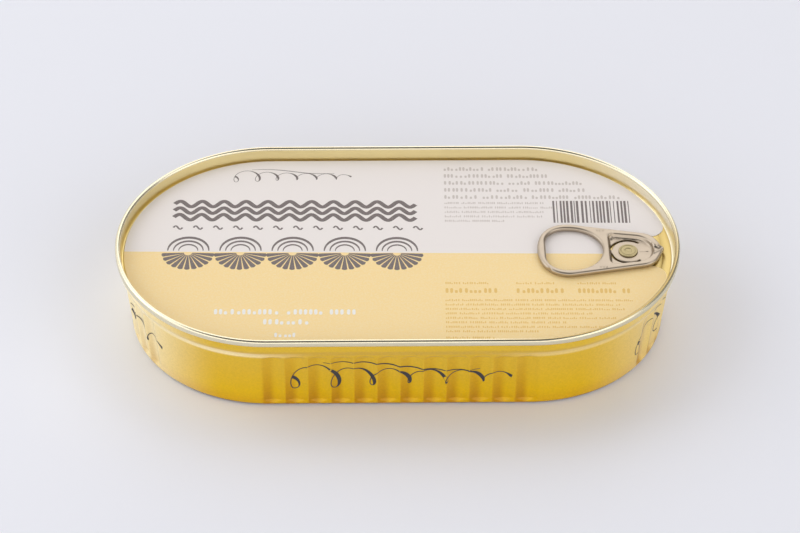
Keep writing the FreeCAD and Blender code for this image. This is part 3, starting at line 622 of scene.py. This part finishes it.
def marks(bm, left, right, middle, height, mark):
    """Row of small upright ticks in groups, where a line of small print would stand."""
    x = left
    while x < right:
        for _ in range(rng.randint(6, 16)):
            if x + mark > right:
                return
            tall = height * rng.choice((0.6, 1.0, 1.0))
            stroke(bm, on_label, lambda u: (x + mark / 2, middle - height / 2 + tall * u),
                   lambda u: mark * (1 - (2 * u - 1) ** 6), 8)
            x += mark * rng.choice((1.5, 1.6, 2.0))
        x += mark * 1.6


def stroke(bm, place, path, weight, steps):
    """Ribbon along a flat path, as wide as weight says, put where place says."""
    def corner(u, v):
        along = Vector(path(min(u + 0.5 / steps, 1))) - Vector(path(max(u - 0.5 / steps, 0)))
        side = Vector((-along.y, along.x)).normalized()
        return place(*(Vector(path(u)) + side * weight(u) * (v - 0.5)))
    patch(bm, steps, 1, corner)


def brush_waves(bm, place, left, length, middle):
    """Brushed run of rolling waves that dies down to the right, with one long thin sweep above."""
    scale = length / WAVE_RUN
    crests = 6

    def wave(u):
        swell = scale * (3.6 * math.exp(-3.0 * u) + 1.9) * min(1, 14 * u + 0.2, 14 * (1 - u) + 0.1)
        phase = crests * math.tau * u
        return left + length * u + 0.8 * swell * math.cos(phase), middle - swell * math.sin(phase)

    def sweep(u):
        rise = 5.2 - 2.6 * u + 0.8 * math.sin(math.tau * u)
        return left + scale * (9 + 40 * u), middle + scale * rise
    thick, thin = 1.1 * scale, 0.26 * scale

    def pressed(u):
        return thin + (thick - thin) * max(0, math.cos(crests * math.tau * u)) ** 2
    stroke(bm, place, wave, pressed, 420)
    stroke(bm, place, sweep, lambda u: thin * (0.6 + math.sin(math.pi * u)), 80)


def shell(bm, across, top, radius):
    """Half-round shell that hangs from a line, ribbed from its hinge."""
    ribs = 11
    for i in range(ribs):
        start = math.pi * (1 + i / ribs)

        def place(u, v):
            angle = start + (0.12 + 0.76 * u) * math.pi / ribs
            reach = radius * (0.16 + 0.84 * v) * (1 + 0.045 * v * math.sin(math.pi * u))
            return on_label(across + reach * math.cos(angle), top + reach * math.sin(angle))
        patch(bm, 4, 1, place)


def crest(bm, across, foot, radius, thick):
    """Half-round stroke, thickest at its top."""
    def path(u):
        return across - radius * math.cos(math.pi * u), foot + radius * math.sin(math.pi * u)
    stroke(bm, on_label, path, lambda u: thick * (0.35 + 0.65 * math.sin(math.pi * u)), 20)


def make_label_print():
    """All the print on the label, each colour and kind of mark a piece of its own."""
    title = bmesh.new()
    for middle in (19.2, 16.4, 13.6):
        stroke(title, on_label,
               lambda u: (-59.5 + 64.3 * u, middle + 1.15 * math.sin(11 * math.tau * u)),
               lambda u: 1.3, 330)
    printed("print_title_waves", title, DARK_INK)

    ripples = bmesh.new()
    for i in range(13):
        left = -59.4 + 5.3 * i
        stroke(ripples, on_label,
               lambda u: (left + 2.4 * u, 9.2 + 0.7 * math.sin(math.tau * u)), lambda u: 0.5, 12)
    printed("print_ripples", ripples, DARK_INK)

    flourish = bmesh.new()
    brush_waves(flourish, on_label, -44.5, 32, 31.2)
    printed("print_flourish", flourish, DARK_INK)

    shells = bmesh.new()
    for across in (-55 + 13.7 * i for i in range(5)):
        shell(shells, across, -1.25, 6.7)
        for radius, thick in ((5.4, 0.9), (3.9, 0.7), (2.5, 0.55)):
            crest(shells, across, -0.4, radius, thick)
    printed("print_shells", shells, DARK_INK)

    pale, left = bmesh.new(), 12.6
    for row, width in enumerate((26, 28, 38, 39, 48)):
        marks(pale, left, left + width, 34.7 - 3.05 * row, 1.7, 0.62)
    for row, width in enumerate((27, 29, 27, 26, 16)):
        marks(pale, left, left + width, 19.9 - 1.9 * row, 0.9, 0.3)
    printed("print_back_lines", pale, GREY_INK)

    stripes = bmesh.new()
    x = 41.5
    while x < 62:
        wide = rng.choice((0.25, 0.25, 0.5, 0.6))
        bar(stripes, x, 11.6, x + wide, 20.9)
        x += wide + rng.choice((0.35, 0.5, 0.7))
    printed("print_stripes", stripes, DARK_INK)

    white = bmesh.new()
    marks(white, -47.2, -9.8, -25.0, 2.2, 0.85)
    marks(white, -34.5, -22.3, -28.9, 2.2, 0.85)
    marks(white, -31.5, -25.6, -34.0, 1.8, 0.7)
    printed("print_white_lines", white, WHITE_INK)

    ochre = bmesh.new()
    for left, small, bold in ((12.3, 12, 13.5), (30.7, 10, 14.5), (46.6, 10, 14.0)):
        marks(ochre, left, left + small, -13.4, 0.9, 0.34)
        marks(ochre, left, left + bold, -16.4, 2.0, 0.75)
    left = 12.2
    for row in range(8):
        width = 48.5 - 2.3 * row * (row % 2) - 1.2 * row
        marks(ochre, left, left + width, -20.2 - 1.75 * row, 0.85, 0.32)
    marks(ochre, left, 24.4, -34.9, 0.85, 0.32)
    printed("print_front_lines", ochre, OCHRE_INK)


def wall_setback(height):
    """How far in from the seam's outline the bare wall stands at a height."""
    return FOOT_SETBACK - (FOOT_SETBACK - SHOULDER_SETBACK) * height / SHOULDER


def on_front(along, height):
    """Point on the front wall, pressed into its flutes with it."""
    bare = Vector((along, wall_setback(height) - WIDTH / 2, height))
    return bare + Vector((0, wall_cut(bare) - SIDE_LIFT, 0))


def on_end(side):
    """Place on one rounded end, measured round it from its middle, left to right seen from outside."""
    def place(along, height):
        radius = WIDTH / 2 - wall_setback(height)
        angle = along / radius
        out = Vector((side * math.cos(angle), side * math.sin(angle), 0))
        bare = Vector((side * HALF, 0, height)) + out * radius
        return bare - out * (wall_cut(bare) - SIDE_LIFT)
    return place


def make_side_print():
    """Brushed waves on the front wall and on both ends."""
    for name, place in (("front", on_front), ("right", on_end(1)), ("left", on_end(-1))):
        bm = bmesh.new()
        brush_waves(bm, place, -WAVE_RUN / 2, WAVE_RUN, 10.2)
        printed("print_waves_" + name, bm, SIDE_INK)


# ---------------------------------------------------------------- floor, light and camera
def make_stage():
    """Pale, even floor."""
    bm = bmesh.new()
    bmesh.ops.create_grid(bm, x_segments=1, y_segments=1, size=3.0)
    mesh = bpy.data.meshes.new("floor")
    bm.to_mesh(mesh)
    bm.free()
    floor_paint = material("floor_paint", (0.835, 0.85, 0.92), 0.9)
    shader_of(floor_paint).inputs["Specular IOR Level"].default_value = 0.0
    mesh.materials.append(floor_paint)
    floor = bpy.data.objects.new("floor", mesh)
    bpy.context.scene.collection.objects.link(floor)


def area_light(name, place, aim, size, power, color):
    """Soft rectangular lamp, in metres and watts, turned to its aim."""
    lamp = bpy.data.lights.new(name, "AREA")
    lamp.shape = "RECTANGLE"
    lamp.size, lamp.size_y = size
    lamp.energy = power
    lamp.color = color
    made = bpy.data.objects.new(name, lamp)
    made.location = place
    made.rotation_euler = (Vector(aim) - Vector(place)).to_track_quat("-Z", "Y").to_euler()
    bpy.context.scene.collection.objects.link(made)


def make_light():
    """Pale studio: cards round the tin, each a soft patch of the world, and one lamp."""
    world = bpy.data.worlds.new("studio")
    world.use_nodes = True
    tree = world.node_tree
    place = tree.nodes.new("ShaderNodeTexCoord")

    def card(behind, turn, rise, inner, outer, strength):
        """Card over what lies behind it, turned from the back to the right and raised, in degrees."""
        aim = (Matrix.Rotation(math.radians(-turn), 3, "Z")
               @ Matrix.Rotation(math.radians(rise), 3, "X") @ Vector((0, 1, 0)))
        near = tree.nodes.new("ShaderNodeVectorMath")
        near.operation = "DOT_PRODUCT"
        near.inputs[1].default_value = aim
        tree.links.new(place.outputs["Generated"], near.inputs[0])
        edge = tree.nodes.new("ShaderNodeMapRange")
        edge.interpolation_type = "SMOOTHSTEP"
        edge.inputs["From Min"].default_value = math.cos(math.radians(outer))
        edge.inputs["From Max"].default_value = math.cos(math.radians(inner))
        tree.links.new(near.outputs["Value"], edge.inputs["Value"])
        joined = tree.nodes.new("ShaderNodeMix")
        tree.links.new(edge.outputs["Result"], joined.inputs["Factor"])
        tree.links.new(behind, joined.inputs["A"])
        joined.inputs["B"].default_value = strength
        return joined.outputs["Result"]

    ceiling = tree.nodes.new("ShaderNodeValue")
    ceiling.outputs[0].default_value = 1.68
    left_back = card(ceiling.outputs[0], -60, 15, 30, 60, 1.0)
    overhead = card(left_back, 180, 72, 28, 50, 0.1)
    right_front = card(overhead, 120, 28, 14, 40, 1.75)
    right_back = card(right_front, 62, 14, 24, 44, 0.25)
    background = tree.nodes["Background"]
    tree.links.new(right_back, background.inputs["Strength"])
    background.inputs["Color"].default_value = (1.0, 0.985, 0.975, 1)
    bpy.context.scene.world = world
    area_light("window", (-1.1, 0.35, 0.9), (0, 0, 0.02), (1.0, 1.0), 4, (0.96, 0.98, 1.0))


def make_camera():
    """Long lens in front of the tin and above it, a little turned; distances in mm."""
    azimuth, elevation, roll = math.radians(-1.280), math.radians(39.774), math.radians(0.484)
    distance = 801.79
    aim = Vector((0.803, 7.602, 9.151))
    back = Vector((math.sin(azimuth) * math.cos(elevation), -math.cos(azimuth) * math.cos(elevation),
                   math.sin(elevation)))
    level = Vector((0, 0, 1)).cross(back).normalized()
    upright = back.cross(level)
    right = level * math.cos(roll) + upright * math.sin(roll)
    up = upright * math.cos(roll) - level * math.sin(roll)
    lens = bpy.data.cameras.new("camera")
    lens.lens = 135.0
    lens.sensor_width = 36.0
    lens.clip_start = 0.01
    made = bpy.data.objects.new("camera", lens)
    turn = Matrix((right, up, back)).transposed().to_4x4()
    made.matrix_world = Matrix.Translation((aim + back * distance) * MM) @ turn
    bpy.context.scene.collection.objects.link(made)
    bpy.context.scene.camera = made


# ---------------------------------------------------------------- the whole
make_body()
make_lid()
make_rivet()
make_tab()
label_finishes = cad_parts["label"].data.materials
label_finishes.clear()
label_finishes.append(PAPER)
make_label_print()
make_side_print()
make_stage()
make_light()
make_camera()
bpy.context.scene.view_settings.view_transform = "Standard"
